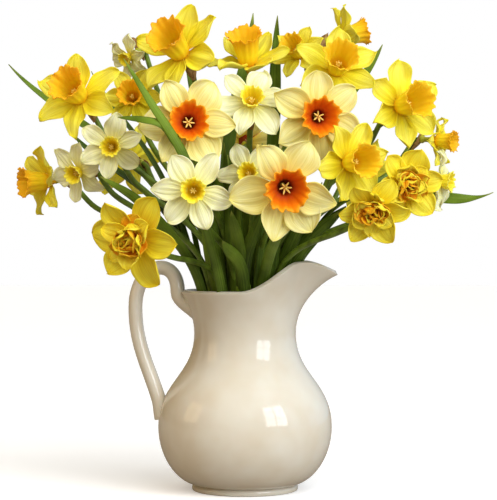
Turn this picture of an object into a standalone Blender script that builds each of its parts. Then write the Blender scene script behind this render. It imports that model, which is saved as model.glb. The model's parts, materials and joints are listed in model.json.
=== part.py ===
"""Daffodils in a jug: a cream glazed pitcher that holds a loose bunch of cut daffodils with their leaves.

Metres, +Z up. The origin is on the table, under the jug's axis. The spout points to +X and the handle
to -X, and the bunch's front looks to -Y.
"""
import math

import bmesh
import bpy
from mathutils import Matrix, Vector

MM = 0.001
GAP = 0.4 * MM  # kept between pieces that touch

# The jug's outside, from its foot up.
FOOT_R = 50 * MM
FOOT_HEIGHT = 6 * MM
BELLY_R = 82 * MM
BELLY_Z = 60 * MM
NECK_R = 48 * MM
NECK_Z = 148 * MM
RIM_R = 60.5 * MM
RIM_Z = 187 * MM
WALL = 4.5 * MM
FLOOR = 8 * MM
FOOT_EDGE = 1.5 * MM  # the bevel round the bottom of the foot
WAIST = 2 * MM  # how far the wall steps in over the foot
LIP_ROUND = 1.6 * MM  # how far the rounded rim stands over the wall's end
JUG_STEPS = 36
HANDLE_STEPS = 6

SPOUT_ANGLE = math.radians(30)  # half the spout's width, seen from above
SPOUT_REACH = 27 * MM  # how far the lip is pulled out past the round rim
SPOUT_RISE = 28 * MM  # from the rim's low side up to the crests
SPOUT_DIP = 9 * MM  # from the crests down to the pouring tip
SPOUT_SWEEP = math.radians(95)  # where the rim starts to rise

HANDLE_THICK = 14 * MM
HANDLE_WIDTH = 19 * MM
HANDLE_ROOT = 19 * MM  # how far under the rim the arch starts, inside the neck
HANDLE_ARCH = 36 * MM  # how strongly the arch climbs over the rim
HANDLE_REACH = 43 * MM  # from the rim to the middle of the strap at its widest
HANDLE_DROP = 15 * MM  # from the rim down to where the strap is widest
HANDLE_FOOT_Z = 68 * MM
HANDLE_BITE = 5 * MM  # how deep the handle's ends reach into the jug's outside

# Flower stems, and what joins them to the flowers.
STEM_R = 2.7 * MM
PEDICEL_R = 2.3 * MM  # the thin bent neck behind the flower
OVARY_R = 4.2 * MM
TUBE_R = 3.2 * MM  # the flower's own tube, where it meets the petals
TUBE_LENGTH = 26 * MM  # from the bend in the pedicel to the petals
BEND = 12 * MM
STEM_SPACING = 9.5 * MM  # between stems in the jug's neck
LEVEL_LEAN = math.radians(70)  # a stem that leans this far or more starts at the edge of the bunch
ROUNDS = 400  # how often the stems push each other apart
FOOT_GAP = 1.4 * MM  # under a stem's square end, which leans
MOUTH_SHARE = 1.2  # the bunch is this much wider at the rim than in the neck
FLOOR_SHARE = 0.72  # the bunch is this much narrower where it stands on the jug's floor

# Leaves: each tuft is a flat stalk of wrapped leaf bases that opens into blades.
STALK_THICK = 6 * MM
STALK_WIDTH = 14 * MM
STALK_TOP = 8 * MM  # over the rim
STALK_LEAN = 1.15  # how far out a stalk's top stands, against the neck
NECK_GAP = 1 * MM  # from a stalk to the jug's wall
BLADE_THICK = 1.4 * MM

# Petals.
PETAL_THICK = 1.2 * MM
PETAL_STEPS = 4  # steps of the turned shape in each of the six petals
NOTCH = (1.0, 0.87, 0.55, 0.87)  # how far the edge reaches at each of those steps, from a petal's tip
CORONA_WALL = 1.5 * MM

# Each kind's corona, in millimetres for a flower whose petals are 45 mm long: its radius at its foot and
# at its mouth, its depth, and how far forward the petals' tips stand.
FULL_SIZE = 45 * MM
KINDS = {
    "trumpet": {"foot": 8.5, "mouth": 15, "depth": 31, "tips": 5},
    "orange_cup": {"foot": 9, "mouth": 17, "depth": 11, "tips": -2},
    "small_cup": {"foot": 8, "mouth": 13, "depth": 12, "tips": -2},
    "double": {"foot": 19, "mouth": 15, "depth": 15, "tips": 0},
}
PETAL_COLOURS = {
    "trumpet": (0.90, 0.72, 0.05),
    "orange_cup": (0.93, 0.85, 0.45),
    "small_cup": (0.90, 0.88, 0.55),
    "double": (0.93, 0.68, 0.05),
}

TABLE_RIM_Z = 187 * MM  # the rim's height that the heights in the two tables below belong to

# Every flower: its kind, its petals' length, its middle (x, y, z), how far it is turned to the right of
# the front and up from level, and its own turn about its axis. Millimetres and degrees.
FLOWERS = [
    ("trumpet", 45, (-152, -40, 368), (-24, 22), 35),
    ("trumpet", 50, (-60, -10, 411), (-28, 28), 33),
    ("trumpet", 45, (3, 1, 403), (-12, 56), 5),
    ("trumpet", 36, (94, 60, 433), (100, 15), 0),
    ("trumpet", 44, (86, -6, 396), (8, 24), 26),
    ("trumpet", 45, (144, -30, 360), (34, 10), 28),
    ("orange_cup", 46, (-50, -105, 341), (4, 4), -3),
    ("small_cup", 37, (6, -75, 361), (3, 26), 12),
    ("orange_cup", 46, (66, -75, 348), (12, -3), 35),
    ("orange_cup", 50, (35, -135, 283), (10, -14), 4),
    ("small_cup", 38, (-45, -130, 280), (0, 0), 52),
    ("double", 45, (-97, -100, 238), (-28, -12), -5),
    ("trumpet", 38, (-188, 20, 292), (-63, -4), 10),
    ("small_cup", 31, (-154, -41, 299), (-33, -20), 15),
    ("small_cup", 32, (-121, -62, 321), (-6, 0), 25),
    ("trumpet", 42, (93, -86, 306), (32, 2), 8),
    ("double", 36, (146, -70, 286), (17, 0), 10),
    ("double", 34, (113, -110, 264), (0, -24), 0),
    ("small_cup", 33, (183, -20, 291), (66, -5), 0),
    ("trumpet", 33, (-106, 15, 370), (-6, 12), 0),
    ("small_cup", 24, (-113, 50, 413), (-40, -25), 10),
    ("trumpet", 28, (187, 65, 333), (60, -5), 0),
    ("trumpet", 32, (53, 55, 416), (-30, 25), 20),
    ("small_cup", 32, (4, -75, 296), (-12, 10), 0),
    ("trumpet", 43, (-115, 110, 315), (-135, 10), 0),
    ("orange_cup", 44, (0, 145, 335), (180, 15), 0),
    ("trumpet", 43, (115, 105, 300), (135, 5), 0),
]

# The leaf tufts: where each stands in the neck, in degrees from the spout, and its blades, each with its
# tip (x, y, z), its width, and how high it climbs before it leans, as a share of its length.
TUFTS = [
    (9, [((235, 5, 281), 13, 0.75), ((172, 25, 388), 12, 0.7)]),
    (68, [((134, 60, 426), 12, 0.6), ((32, 95, 458), 13, 0.6), ((70, 150, 380), 13, 0.5)]),
    (112, [((8, 90, 460), 13, 0.6), ((-60, 100, 430), 12, 0.6), ((-60, 165, 370), 13, 0.5)]),
    (157, [((-228, 40, 405), 12, 0.5), ((-170, 80, 340), 13, 0.5), ((-150, 60, 400), 12, 0.6)]),
    (-92, [((-12, -96, 262), 11, 0.6), ((15, -78, 262), 11, 0.6), ((-20, -92, 236), 11, 0.6)]),
]
BLADE_STEPS = 7

CREAM = (0.84, 0.79, 0.68)
STEM_GREEN = (0.22, 0.36, 0.07)
LEAF_GREEN = (0.10, 0.22, 0.04)

parts = bpy.data.collections.new("daffodils_in_jug")
helpers = bpy.data.collections.new("cutters")


def clear_scene():
    for obj in list(bpy.data.objects):
        bpy.data.objects.remove(obj)
    bpy.context.scene.collection.children.link(parts)
    bpy.context.scene.collection.children.link(helpers)


def material(name, colour, roughness):
    made = bpy.data.materials.new(name)
    made.use_nodes = True
    shader = made.node_tree.nodes["Principled BSDF"]
    shader.inputs["Base Color"].default_value = (*colour, 1)
    shader.inputs["Roughness"].default_value = roughness
    shader.inputs["Metallic"].default_value = 0
    return made


def bezier(a, b, c, d, steps):
    """steps + 1 points of a cubic from a to d."""
    points = []
    for i in range(steps + 1):
        t = i / steps
        s = 1 - t
        points.append(a * s**3 + b * (3 * s * s * t) + c * (3 * s * t * t) + d * t**3)
    return points


def smoothstep(low, high, value):
    t = min(1.0, max(0.0, (value - low) / (high - low)))
    return t * t * (3 - 2 * t)


def add(name, data, collection=parts):
    obj = bpy.data.objects.new(name, data)
    collection.objects.link(obj)
    return obj


def to_mesh(obj):
    """Replaces an object by the plain mesh that it evaluates to, with its seams welded."""
    name = obj.name
    collection = obj.users_collection[0]
    bpy.context.view_layer.update()
    evaluated = obj.evaluated_get(bpy.context.evaluated_depsgraph_get())
    mesh = bpy.data.meshes.new_from_object(evaluated)
    mesh.transform(obj.matrix_world)
    bpy.data.objects.remove(obj)
    mesh.name = name
    work = bmesh.new()
    work.from_mesh(mesh)
    bmesh.ops.remove_doubles(work, verts=work.verts, dist=0.001 * MM)
    work.to_mesh(mesh)
    work.free()
    return add(name, mesh, collection)


def turned(name, profile, steps, collection=parts):
    """A closed turned solid. The profile's (r, z) points run down its outer side."""
    mesh = bpy.data.meshes.new(name)
    points = [(r, 0, z) for r, z in profile]
    mesh.from_pydata(points, [(i, i + 1) for i in range(len(points) - 1)], [])
    obj = add(name, mesh, collection)
    screw = obj.modifiers.new("turn", "SCREW")
    screw.steps = steps
    screw.render_steps = steps
    screw.use_merge_vertices = True
    screw.merge_threshold = 0.001 * MM
    return to_mesh(obj)


def tube(name, points, radii, collection=parts):
    """A round closed rod along the points, with a radius at each."""
    curve = bpy.data.curves.new(name, "CURVE")
    curve.dimensions = "3D"
    curve.bevel_depth = 1
    curve.bevel_resolution = 2
    curve.use_fill_caps = True
    spline = curve.splines.new("POLY")
    spline.points.add(len(points) - 1)
    for i, point in enumerate(points):
        spline.points[i].co = (*point, 1)
        spline.points[i].radius = radii[i]
    return to_mesh(add(name, curve, collection))


def as_cutter(obj):
    obj.hide_render = True
    obj.display_type = "WIRE"


def boolean(obj, other, operation):
    modifier = obj.modifiers.new(operation.lower(), "BOOLEAN")
    modifier.operation = operation
    modifier.solver = "EXACT"
    modifier.object = other
    as_cutter(other)


# The jug.

def jug_side():
    """(r, z) points up the jug's outside, from the top of its foot to just under the rim."""
    waist = FOOT_R - WAIST
    bottom = bezier(
        Vector((waist, FOOT_HEIGHT)), Vector((waist + (BELLY_R - waist) * 0.53, FOOT_HEIGHT * 1.5)),
        Vector((BELLY_R, BELLY_Z * 0.55)), Vector((BELLY_R, BELLY_Z)), 5)
    rise = NECK_Z - BELLY_Z
    shoulder = bezier(
        Vector((BELLY_R, BELLY_Z)), Vector((BELLY_R, BELLY_Z + rise * 0.48)),
        Vector((NECK_R, NECK_Z - rise * 0.45)), Vector((NECK_R, NECK_Z)), 7)
    flare = RIM_Z - NECK_Z
    mouth = bezier(
        Vector((NECK_R, NECK_Z)), Vector((NECK_R, NECK_Z + flare * 0.45)),
        Vector((RIM_R - (RIM_R - NECK_R) * 0.32, RIM_Z - flare * 0.2)), Vector((RIM_R, RIM_Z)), 4)
    return bottom + shoulder[1:] + mouth[1:]


def inset(points, distance):
    """The points moved inwards, square to the line through their neighbours."""
    moved = []
    for i, point in enumerate(points):
        along = points[min(i + 1, len(points) - 1)] - points[max(i - 1, 0)]
        moved.append(point + Vector((-along.y, along.x)).normalized() * distance)
    return moved


def pull_spout(mesh):
    """Lifts the rim towards +X and draws its middle out into a lip."""
    for vertex in mesh.vertices:
        x, y, z = vertex.co
        radius = math.hypot(x, y)
        if radius < 1 * MM or z <= NECK_Z:
            continue
        angle = abs(math.atan2(y, x))
        height = min(1.0, (z - NECK_Z) / (RIM_Z - NECK_Z))
        rise = SPOUT_RISE * (1 - smoothstep(SPOUT_ANGLE, SPOUT_SWEEP, angle))
        dip = SPOUT_DIP * (1 - smoothstep(0, SPOUT_ANGLE, angle))
        reach = SPOUT_REACH * (1 - smoothstep(0, SPOUT_ANGLE * 1.15, angle))
        wider = 1 + height**2 * reach / radius
        vertex.co = (x * wider, y * wider, z + height**1.5 * (rise - dip))


def handle_path():
    """The middle of the handle, from inside the neck, over the arch and down into the belly's wall."""
    root = Vector((-NECK_R + HANDLE_BITE * 0.8, 0, RIM_Z - HANDLE_ROOT))
    top = Vector((-RIM_R - HANDLE_THICK * 0.21, 0, RIM_Z))
    out = Vector((-RIM_R - HANDLE_REACH, 0, RIM_Z - HANDLE_DROP))
    foot = Vector((-BELLY_R + HANDLE_BITE, 0, HANDLE_FOOT_Z))
    rise = Vector((0, 0, HANDLE_ARCH))
    arch = bezier(top, top + rise, out + rise * 1.2, out, HANDLE_STEPS)
    drop = Vector((0, 0, (out.z - foot.z) * 0.4))
    outward = Vector((-HANDLE_BITE * 1.8, 0, 0))
    strap = bezier(out, out - drop, foot + outward + drop, foot, HANDLE_STEPS)
    return [root] + arch + strap[1:]


def make_jug():
    side = jug_side()
    inner = inset(side, WALL)
    lip = [(RIM_R - WALL * 0.25, RIM_Z + LIP_ROUND), (RIM_R - WALL * 0.8, RIM_Z + LIP_ROUND * 0.9)]
    foot = [(FOOT_R, FOOT_HEIGHT * 0.7), (FOOT_R, FOOT_EDGE * 0.7), (FOOT_R - FOOT_EDGE, 0), (0, 0)]
    clear = FLOOR * 1.4  # the inside's wall starts this high, so that its bottom curve has no step
    inside = [(0, FLOOR), (FOOT_R * 0.8, FLOOR)] + [(p.x, p.y) for p in inner if p.y > clear]
    outside = [(p.x, p.y) for p in reversed(side)]
    jug = turned("jug", inside + list(reversed(lip)) + outside + foot, JUG_STEPS)
    pull_spout(jug.data)

    # The handle is kept out of the inside: it ends in the middle of the wall.
    middle = inset(side, WALL / 2)
    core_side = [(p.x, p.y) for p in reversed(middle)]
    core = turned("jug_core", [(0, RIM_Z + LIP_ROUND)] + core_side + [(0, FLOOR)], JUG_STEPS, helpers)
    path = handle_path()
    handle = tube("jug_handle", path, [HANDLE_THICK / 2] * len(path), helpers)
    for vertex in handle.data.vertices:
        vertex.co.y *= HANDLE_WIDTH / HANDLE_THICK
    boolean(handle, core, "DIFFERENCE")
    boolean(jug, handle, "UNION")
    jug.data.materials.append(material("cream glaze", CREAM, 0.12))


# The flowers.

def facing(turn, tilt):
    """The way a flower looks: turned to the right of the front, then tilted up."""
    turn = math.radians(turn)
    tilt = math.radians(tilt)
    return Vector((math.sin(turn) * math.cos(tilt), -math.cos(turn) * math.cos(tilt), math.sin(tilt)))


def place(centre):
    """A place of the tables, in a jug of any height: the bunch rises and sinks with the rim."""
    return Vector(centre) * MM + Vector((0, 0, RIM_Z - TABLE_RIM_Z))


def neck_places():
    """Where each stem stands in the neck: on its own flower's side, pushed apart until all have room."""
    most = NECK_R - WALL - NECK_GAP - STALK_THICK - GAP - STEM_R
    places = []
    for _, _, centre, _, _ in FLOWERS:
        spot = place(centre)
        lean = math.atan2(math.hypot(spot.x, spot.y), spot.z - NECK_Z)
        places.append(Vector((spot.x, spot.y)).normalized() * most * min(1, lean / LEVEL_LEAN))
    for _ in range(ROUNDS):
        for i, a in enumerate(places):
            for b in places[:i]:
                apart = a - b
                short = STEM_SPACING - apart.length
                if short > 0:
                    push = apart.normalized() * short * 0.5
                    a += push
                    b -= push
        for spot in places:
            if spot.length > most:
                spot *= most / spot.length
    return places


def stem_points(spot, centre, look):
    """The stem's line with its radius at each point, from the jug's floor to the back of the flower."""
    foot = Vector((spot.x * FLOOR_SHARE, spot.y * FLOOR_SHARE, FLOOR + FOOT_GAP))
    neck = Vector((spot.x, spot.y, NECK_Z))
    mouth = Vector((spot.x * MOUTH_SHARE, spot.y * MOUTH_SHARE, RIM_Z))
    bend = centre - look * TUBE_LENGTH
    back = centre - look * (PETAL_THICK + GAP)
    rise = (mouth - neck).normalized()
    arrive = ((bend - neck).normalized() + Vector((0, 0, 0.6))).normalized()
    below = bend - arrive * BEND
    reach = (below - mouth).length
    curve = bezier(mouth, mouth + rise * reach * 0.5, below - arrive * reach * 0.3, below, 4)
    after = bend + look * BEND * 0.6
    corner = (below + bend * 2 + after) / 4
    ovary = bend + look * BEND
    line = [foot, neck] + curve + [corner, after, ovary, back]
    radii = [STEM_R] * 5 + [STEM_R * 0.95, PEDICEL_R, PEDICEL_R, PEDICEL_R, OVARY_R, TUBE_R]
    return line, radii


def head_profile(kind, size):
    """(r, z) points from the middle of the throat, over the corona and the petals, to the flower's back."""
    scale = size * MM / FULL_SIZE * MM  # from the millimetres in KINDS to metres
    sizes = KINDS[kind]
    foot = sizes["foot"] * scale
    mouth = sizes["mouth"] * scale
    depth = sizes["depth"] * scale
    petals = [(foot, PETAL_THICK), (size * MM, sizes["tips"] * scale), (TUBE_R + 2 * MM, -PETAL_THICK)]
    if kind == "double":
        middle = [(0, depth), (mouth, depth * 0.9)]
    else:
        middle = [(0, PETAL_THICK * 2), (foot - CORONA_WALL, PETAL_THICK * 2.5), (mouth, depth)]
    return middle + petals + [(0, -PETAL_THICK)]


def make_head(name, kind, size, centre, look, roll):
    steps = 6 * PETAL_STEPS
    head = turned(name, head_profile(kind, size), steps)
    for vertex in head.data.vertices:
        x, y, _ = vertex.co
        if math.hypot(x, y) > size * MM * 0.9:
            step = round(math.atan2(y, x) / math.tau * steps) % PETAL_STEPS
            vertex.co.x *= NOTCH[step]
            vertex.co.y *= NOTCH[step]
    turn = look.to_track_quat("Z", "Y").to_matrix().to_4x4()
    head.matrix_world = Matrix.Translation(centre) @ turn @ Matrix.Rotation(math.radians(roll), 4, "Z")
    head.data.materials.append(material(name, PETAL_COLOURS[kind], 0.5))


def make_flowers():
    count = {}
    for (kind, size, centre, (turn, tilt), roll), spot in zip(FLOWERS, neck_places()):
        count[kind] = count.get(kind, 0) + 1
        look = facing(turn, tilt)
        middle = place(centre)
        make_head(f"{kind}_flower_{count[kind]}", kind, size, middle, look, roll)
        line, radii = stem_points(spot, middle, look)
        stem = tube(f"{kind}_stem_{count[kind]}", line, radii)
        stem.data.materials.append(material(stem.name, STEM_GREEN, 0.5))


# The leaves.

def loft(name, rings, collection):
    """A closed mesh through rings of equal length, with a cap at each end."""
    count = len(rings[0])
    points = [point for ring in rings for point in ring]
    faces = [tuple(reversed(range(count)))]
    for row in range(len(rings) - 1):
        for i in range(count):
            a = row * count + i
            b = row * count + (i + 1) % count
            faces.append((a, b, b + count, a + count))
    last = (len(rings) - 1) * count
    faces.append(tuple(range(last, last + count)))
    mesh = bpy.data.meshes.new(name)
    mesh.from_pydata(points, [], faces)
    return add(name, mesh, collection)


def blade(name, base, tip, width, climb, outward):
    """A pointed strip, lens-shaped across, from the stalk's top to the tip."""
    length = (tip - base).length
    lead = Vector((0, 0, 1)) + outward * 0.25
    line = bezier(base, base + lead * length * climb, tip - (tip - base) * 0.3, tip, BLADE_STEPS)
    rings = []
    for i, point in enumerate(line):
        t = i / BLADE_STEPS
        along = (line[min(i + 1, BLADE_STEPS)] - line[max(i - 1, 0)]).normalized()
        side = along.cross(outward).normalized()
        front = side.cross(along).normalized()
        half = width * MM / 2 * (1 - 0.94 * smoothstep(0.6, 1.0, t))
        thick = BLADE_THICK / 2 * (1 - 0.6 * t)
        rings.append([point + side * half, point + front * thick, point - side * half, point - front * thick])
    return loft(name, rings, helpers)


def make_tuft(number, angle, blades):
    angle = math.radians(angle)
    outward = Vector((math.cos(angle), math.sin(angle), 0))
    side = Vector((-outward.y, outward.x, 0))
    reach = NECK_R - WALL - NECK_GAP - STALK_THICK / 2
    top = RIM_Z + STALK_TOP
    levels = [(reach * FLOOR_SHARE, FLOOR + FOOT_GAP), (reach, NECK_Z), (reach * STALK_LEAN, top)]
    rings = []
    for radius, z in levels:
        ring = []
        for i in range(8):
            around = math.tau * i / 8
            ring.append(outward * (radius + math.cos(around) * STALK_THICK / 2)
                        + side * (math.sin(around) * STALK_WIDTH / 2) + Vector((0, 0, z)))
        rings.append(ring)
    name = f"leaf_tuft_{number}"
    tuft = loft(name, rings, parts)
    for i, (tip, width, climb) in enumerate(blades):
        shift = (i - (len(blades) - 1) / 2) / len(blades)
        base = outward * reach * STALK_LEAN + side * shift * 3 * MM + outward * shift * 2 * MM
        base.z = top - 10 * MM
        boolean(tuft, blade(f"{name}_blade_{i + 1}", base, place(tip), width, climb, outward), "UNION")
    tuft.data.materials.append(material(name, LEAF_GREEN, 0.45))


def finish():
    for obj in parts.objects:
        obj.data.shade_smooth()
        obj.data.set_sharp_from_angle(angle=math.radians(40))


clear_scene()
make_jug()
make_flowers()
for number, (angle, blades) in enumerate(TUFTS, 1):
    make_tuft(number, angle, blades)
finish()
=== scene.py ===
# %% [markdown]
# # Daffodils in a jug
# A cream glazed pitcher holds a loose bunch of cut daffodils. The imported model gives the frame: where the
# jug stands, how big it is and where each flower looks. The lesson models the fine surfaces round it: the
# glazed jug, thin folded petals, frilled coronas, stamens, stems, papery spathes and strap-shaped leaves.

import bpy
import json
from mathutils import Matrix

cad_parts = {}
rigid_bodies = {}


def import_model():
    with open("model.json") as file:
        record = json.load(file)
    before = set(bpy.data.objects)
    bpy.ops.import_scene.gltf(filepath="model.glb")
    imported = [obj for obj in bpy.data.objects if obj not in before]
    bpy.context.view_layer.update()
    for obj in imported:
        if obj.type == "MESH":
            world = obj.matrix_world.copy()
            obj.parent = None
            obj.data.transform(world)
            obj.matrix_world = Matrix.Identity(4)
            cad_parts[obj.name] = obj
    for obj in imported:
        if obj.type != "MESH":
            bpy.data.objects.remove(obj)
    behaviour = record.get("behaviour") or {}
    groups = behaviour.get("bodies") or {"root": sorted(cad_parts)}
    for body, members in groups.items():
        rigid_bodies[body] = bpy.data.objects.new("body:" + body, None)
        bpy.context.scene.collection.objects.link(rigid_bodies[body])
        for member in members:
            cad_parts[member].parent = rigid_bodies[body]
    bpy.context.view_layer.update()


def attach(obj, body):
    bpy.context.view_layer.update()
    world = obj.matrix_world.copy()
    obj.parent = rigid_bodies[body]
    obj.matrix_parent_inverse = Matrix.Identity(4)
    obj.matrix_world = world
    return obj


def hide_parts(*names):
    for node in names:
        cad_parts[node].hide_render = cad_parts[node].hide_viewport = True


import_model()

import json
import math
import random

import bpy
import numpy as np
from mathutils import Matrix, Vector

MM = 0.001
bpy.ops.object.select_all(action="DESELECT")

# %% [markdown]
# ## Working with meshes
# Each piece starts as one of Blender's primitives. Its vertices are then read into an array, moved by a
# rule, and written back, which is how a whole petal can be bent at once. Copies get a mesh of their own,
# so that no two flowers are quite alike.

# %% Helpers for pieces


def read_points(obj):
    flat = np.empty(len(obj.data.vertices) * 3)
    obj.data.vertices.foreach_get("co", flat)
    return flat.reshape(-1, 3)


def write_points(obj, points):
    obj.data.vertices.foreach_set("co", np.asarray(points, float).ravel())
    obj.data.update()


def copy_of(blank, name):
    made = blank.copy()
    made.data = blank.data.copy()
    made.name = name
    made.data.name = name
    bpy.context.scene.collection.objects.link(made)
    return made


def activate(*objects):
    bpy.ops.object.select_all(action="DESELECT")
    for obj in objects:
        obj.select_set(True)
    bpy.context.view_layer.objects.active = objects[0]


def apply_modifier(obj, kind, **settings):
    activate(obj)
    modifier = obj.modifiers.new(kind.lower(), kind)
    for key, value in settings.items():
        setattr(modifier, key, value)
    bpy.ops.object.modifier_apply(modifier=modifier.name)


def thicken(obj, thickness):
    apply_modifier(obj, "SOLIDIFY", thickness=thickness, offset=0, use_even_offset=False)
    obj.data.shade_smooth()


def joined(name, pieces):
    activate(*pieces)
    if len(pieces) > 1:
        bpy.ops.object.join()
    pieces[0].name = name
    pieces[0].data.name = name
    return pieces[0]


def smoothstep(low, high, value):
    t = np.clip((value - low) / (high - low), 0, 1)
    return t * t * (3 - 2 * t)


def finish_piece(obj, material, replaces=()):
    """Gives a piece its finish and fastens it to the object."""
    obj.data.materials.clear()
    obj.data.materials.append(material)
    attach(obj, "root")
    if replaces:
        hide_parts(*replaces)


# %% [markdown]
# ## Materials
# Every finish is built from nodes. Colours are given as sRGB hex values and turned into the linear values
# that the shader wants by one function. Patterns are sized in real millimetres: Object coordinates are in
# metres, so a noise scale of 1 / (4 * MM) gives blotches about 4 mm across. On petals and leaves the
# pattern must follow the surface, so it reads the piece's UV map: u runs across the blade and v along it.

# %% Helpers for materials


def linear(colour):
    """An sRGB hex colour as linear RGBA."""
    values = [int(colour[i:i + 2], 16) / 255 for i in (0, 2, 4)]
    return (*[v / 12.92 if v <= 0.04045 else ((v + 0.055) / 1.055) ** 2.4 for v in values], 1)


def new_material(name, **values):
    """A material with its Principled shader's sockets set. Returns the material, its tree and the shader."""
    material = bpy.data.materials.new(name)
    material.use_nodes = True
    shader = material.node_tree.nodes["Principled BSDF"]
    for key, value in values.items():
        shader.inputs[key.replace("_", " ")].default_value = value
    return material, material.node_tree, shader


def add(tree, kind, settings=None, **inputs):
    """Adds a node. Each input is a value, or another node's output."""
    node = tree.nodes.new(kind)
    for key, value in (settings or {}).items():
        setattr(node, key, value)
    for key, value in inputs.items():
        socket = node.inputs[int(key[1:])] if key[1:].isdigit() else node.inputs[key.replace("_", " ")]
        if isinstance(value, bpy.types.NodeSocket):
            tree.links.new(value, socket)
        else:
            socket.default_value = value
    return node


def ramp(tree, factor, *stops):
    """A colour ramp through (place, hex colour) stops."""
    node = add(tree, "ShaderNodeValToRGB", Fac=factor)
    elements = node.color_ramp.elements
    while len(elements) < len(stops):
        elements.new(0.5)
    for element, (place, colour) in zip(elements, stops):
        element.position = place
        element.color = linear(colour)
    return node.outputs["Color"]


def mix(tree, kind, factor, first, second):
    settings = {"data_type": "RGBA", "blend_type": kind}
    node = add(tree, "ShaderNodeMix", settings, _0=factor, _6=first, _7=second)
    return node.outputs[2]


def blotches(tree, size, detail=2):
    """Noise on Object coordinates, with blotches of this size in metres."""
    place = add(tree, "ShaderNodeTexCoord").outputs["Object"]
    return add(tree, "ShaderNodeTexNoise", Vector=place, Scale=1 / size, Detail=detail).outputs["Fac"]


def streaks(tree, across, along, detail=3):
    """Fine lines along the UV map's v: this many across, and this many changes along each."""
    uv = add(tree, "ShaderNodeUVMap").outputs["UV"]
    stretched = add(tree, "ShaderNodeMapping", Vector=uv, Scale=(across, along, 1))
    return add(tree, "ShaderNodeTexNoise", Vector=stretched.outputs[0], Scale=1, Detail=detail).outputs["Fac"]


def uv_part(tree, axis):
    uv = add(tree, "ShaderNodeUVMap").outputs["UV"]
    return add(tree, "ShaderNodeSeparateXYZ", Vector=uv).outputs[axis]


def bump(tree, shader, height, distance, strength=1.0):
    node = add(tree, "ShaderNodeBump", Height=height, Distance=distance, Strength=strength)
    tree.links.new(node.outputs[0], shader.inputs["Normal"])


# %% [markdown]
# ## Petal tissue
# A daffodil's petal is thin, soft and slightly waxy. Light soaks into it, so it glows where it is lit from
# behind: a little subsurface scattering gives that. The veins run from base to tip about 0.9 mm apart, and
# show as faint darker lines and shallow ridges. Broader folds about 4 mm apart are raised in the bump and
# darkened in the colour as painted shade. The colour deepens towards the base, where the petal is
# thickest.

# %% Petal materials
VEIN_SPACING = 0.9 * MM
PLEAT_SPACING = 4 * MM
PETAL_WIDTH = 30 * MM


def petal_material(name, base, middle, tip, vein):
    material, tree, shader = new_material(
        name, Roughness=0.45, Subsurface_Weight=0.25, Subsurface_Scale=0.003, IOR=1.42,
        Specular_IOR_Level=0.3, Sheen_Weight=0.05)
    shader.inputs["Subsurface Radius"].default_value = (1.0, 0.75, 0.2)
    body = ramp(tree, uv_part(tree, "Y"), (0.0, base), (0.3, middle), (0.8, tip), (1.0, middle))
    lines = streaks(tree, PETAL_WIDTH / VEIN_SPACING, 1.2)
    dark = add(tree, "ShaderNodeMapRange", Value=lines, _1=0.42, _2=0.7, _3=0.0, _4=0.55).outputs[0]
    veined = mix(tree, "MIX", dark, body, linear(vein))
    # Folds about 4 mm apart: raised in the bump, and darkened in the colour as painted shade in the folds.
    pleats = streaks(tree, PETAL_WIDTH / PLEAT_SPACING, 0.8, 1)
    painted_fold_shade = add(tree, "ShaderNodeMapRange", Value=pleats, _1=0.45, _2=0.75, _3=0.0, _4=0.5).outputs[0]
    with_painted_fold_shade = mix(tree, "MIX", painted_fold_shade, veined, linear(vein))
    tree.links.new(with_painted_fold_shade, shader.inputs["Base Color"])
    both = add(tree, "ShaderNodeMath", {"operation": "MULTIPLY_ADD"}, _0=pleats, _1=3.0, _2=lines).outputs[0]
    bump(tree, shader, both, 0.3 * MM)
    return material


PETALS = {
    "trumpet": petal_material("lemon yellow petal", "F0CE1A", "F8E82C", "FCF262", "D8C414"),
    "orange_cup": petal_material("cream petal, yellow at its base", "F3C62A", "F4E480", "F7F0AC", "DAC658"),
    "small_cup": petal_material("pale cream petal", "ECDF58", "F3F0AE", "F8F6D0", "D0CE86"),
    "double": petal_material("golden yellow petal", "F3B018", "FAE022", "FDF04C", "DEB810"),
}

# %% [markdown]
# ## Coronas
# The corona, the trumpet or cup in a daffodil's middle, is a fold of the same tissue, more deeply coloured
# and crimped at its rim. Its colour goes from the throat to the rim, so the piece carries an attribute
# called depth that runs from 0 to 1 along it. In the orange cup, the dark red-brown throat and the deeper
# orange just above it are painted shade deep in the cup; its orange wall and rim are its own colour.

# %% Corona materials


def corona_material(name, throat, foot, wall, rim):
    material, tree, shader = new_material(
        name, Roughness=0.45, Subsurface_Weight=0.25, Subsurface_Scale=0.003, IOR=1.42,
        Specular_IOR_Level=0.3)
    shader.inputs["Subsurface Radius"].default_value = (1.0, 0.6, 0.15)
    depth = add(tree, "ShaderNodeAttribute", {"attribute_name": "depth"}).outputs["Fac"]
    # Only the orange cup darkens towards its throat, and that darkening is painted shade; the other coronas
    # keep their own colour there.
    body = ramp(tree, depth, (0.0, throat), (0.3, throat), (0.5, foot), (0.82, wall), (1.0, rim))
    lines = streaks(tree, 90, 3)
    soft = add(tree, "ShaderNodeMapRange", Value=lines, _1=0.4, _2=0.7, _3=0.0, _4=0.45).outputs[0]
    tree.links.new(mix(tree, "MULTIPLY", soft, body, linear("ECD0A0")), shader.inputs["Base Color"])
    bump(tree, shader, lines, 0.5 * MM)
    return material


CORONAS = {
    "trumpet": corona_material("golden trumpet", "F2B81E", "F8DE2A", "FAC222", "F9B422"),
    "light_trumpet": corona_material("yellow trumpet", "F0BC1C", "F7DE2C", "F9CC24", "F9CA2C"),
    # The orange cup's throat 762208 and foot C04A08 are painted shade deep in the cup; wall and rim are its
    # own orange.
    "orange_cup": corona_material("orange cup", "762208", "C04A08", "F4820E", "FBA81E"),
    "small_cup": corona_material("yellow cup", "EFCE22", "F5DC2A", "F8E434", "FBEE62"),
    "double": corona_material("orange frill", "E8720C", "F08A12", "FAAA1C", "FBCC2C"),
}

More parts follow.
